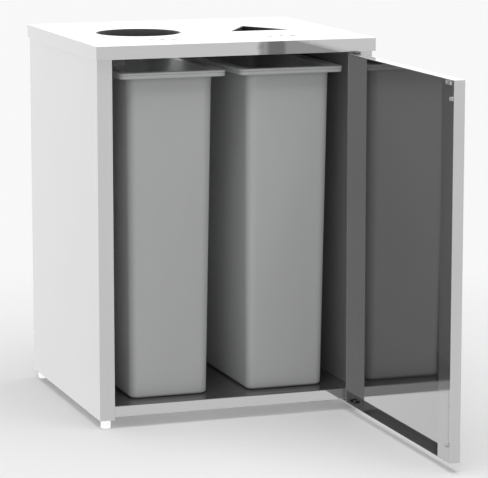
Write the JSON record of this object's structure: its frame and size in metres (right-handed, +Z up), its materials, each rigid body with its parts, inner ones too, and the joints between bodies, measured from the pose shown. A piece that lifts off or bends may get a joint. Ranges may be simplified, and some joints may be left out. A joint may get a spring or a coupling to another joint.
{
  "type": "recycling bin station",
  "caption": "Cabinet-style recycling station with round and triangular top openings, a side-hung door, levelling feet and slim slide-out bins.",
  "frame": {"origin": "on the floor under the feet, centred on the cabinet's width, in the plane of the top panel's front edge, which is also midway between the back of the top and the free edge of the open door", "axes": "+X to the viewer's right, +Y to the back of the cabinet, +Z up"},
  "size_m": [0.68, 1.23, 0.8913],
  "materials": {
    "white_paint": "gloss powder coat",
    "dark_lining": "dark gloss",
    "black_plastic": "satin",
    "black_steel": "black powder coat",
    "zinc_steel": "zinc plated",
    "ferrite": "dull dark ferrite",
    "bin_plastic": "satin moulded",
    "white_plastic": "satin",
    "bumper_rubber": "matte",
    "waste_decal": "printed vinyl",
    "recycling_decal": "printed vinyl"
  },
  "bodies": {
    "cabinet": {"top_panel": "white_paint", "top_underside": "dark_lining", "round_throat": "black_plastic", "triangle_throat": "black_plastic", "throat_screws": "zinc_steel", "left_side_shell": "white_paint", "right_side_shell": "white_paint", "left_side_liner": "dark_lining", "right_side_liner": "dark_lining", "back_panel": "white_paint", "back_liner": "dark_lining", "bottom_panel": "white_paint", "floor_liner": "dark_lining", "top_screws": "zinc_steel", "floor_screws": "zinc_steel", "back_screws": "zinc_steel", "upper_pivot_bracket": "black_steel", "lower_pivot_bracket": "black_steel", "upper_pivot_pin": "zinc_steel", "lower_pivot_pin": "zinc_steel", "bracket_screws": "zinc_steel", "catch_body": "black_plastic", "catch_magnet": "ferrite", "catch_screws": "zinc_steel", "foot_nuts": "zinc_steel", "waste_label": "waste_decal", "recycling_label": "recycling_decal"},
    "door": {"door_skin": "white_paint", "door_liner": "dark_lining", "door_edge_channel": "dark_lining", "upper_pivot_bush": "black_plastic", "lower_pivot_bush": "black_plastic", "door_bumpers": "bumper_rubber", "catch_strike": "zinc_steel", "strike_screws": "zinc_steel"},
    "left_bin_body": {"left_bin": "bin_plastic"},
    "right_bin_body": {"right_bin": "bin_plastic"},
    "front_left_leveller": {"front_left_foot": "white_plastic", "front_left_stud": "zinc_steel"},
    "front_right_leveller": {"front_right_foot": "white_plastic", "front_right_stud": "zinc_steel"},
    "back_left_leveller": {"back_left_foot": "white_plastic", "back_left_stud": "zinc_steel"},
    "back_right_leveller": {"back_right_foot": "white_plastic", "back_right_stud": "zinc_steel"}
  },
  "joints": [
    {"name": "door_hinge", "type": "hinge", "parent": "cabinet", "child": "door", "pos_m": [0.2885, -0.013, 0.4388], "axis": [0, 0, 1], "range_deg": [-90, 90]},
    {"name": "left_bin_slide", "type": "slide", "parent": "cabinet", "child": "left_bin_body", "axis": [0, -1, 0], "range_m": [0, 0.6]},
    {"name": "right_bin_slide", "type": "slide", "parent": "cabinet", "child": "right_bin_body", "axis": [0, -1, 0], "range_m": [0, 0.6]},
    {"name": "front_left_foot_screw", "type": "slide", "parent": "cabinet", "child": "front_left_leveller", "axis": [0, 0, -1], "range_m": [0, 0.012]},
    {"name": "front_right_foot_screw", "type": "slide", "parent": "cabinet", "child": "front_right_leveller", "axis": [0, 0, -1], "range_m": [0, 0.012]},
    {"name": "back_left_foot_screw", "type": "slide", "parent": "cabinet", "child": "back_left_leveller", "axis": [0, 0, -1], "range_m": [0, 0.012]},
    {"name": "back_right_foot_screw", "type": "slide", "parent": "cabinet", "child": "back_right_leveller", "axis": [0, 0, -1], "range_m": [0, 0.012]}
  ]
}
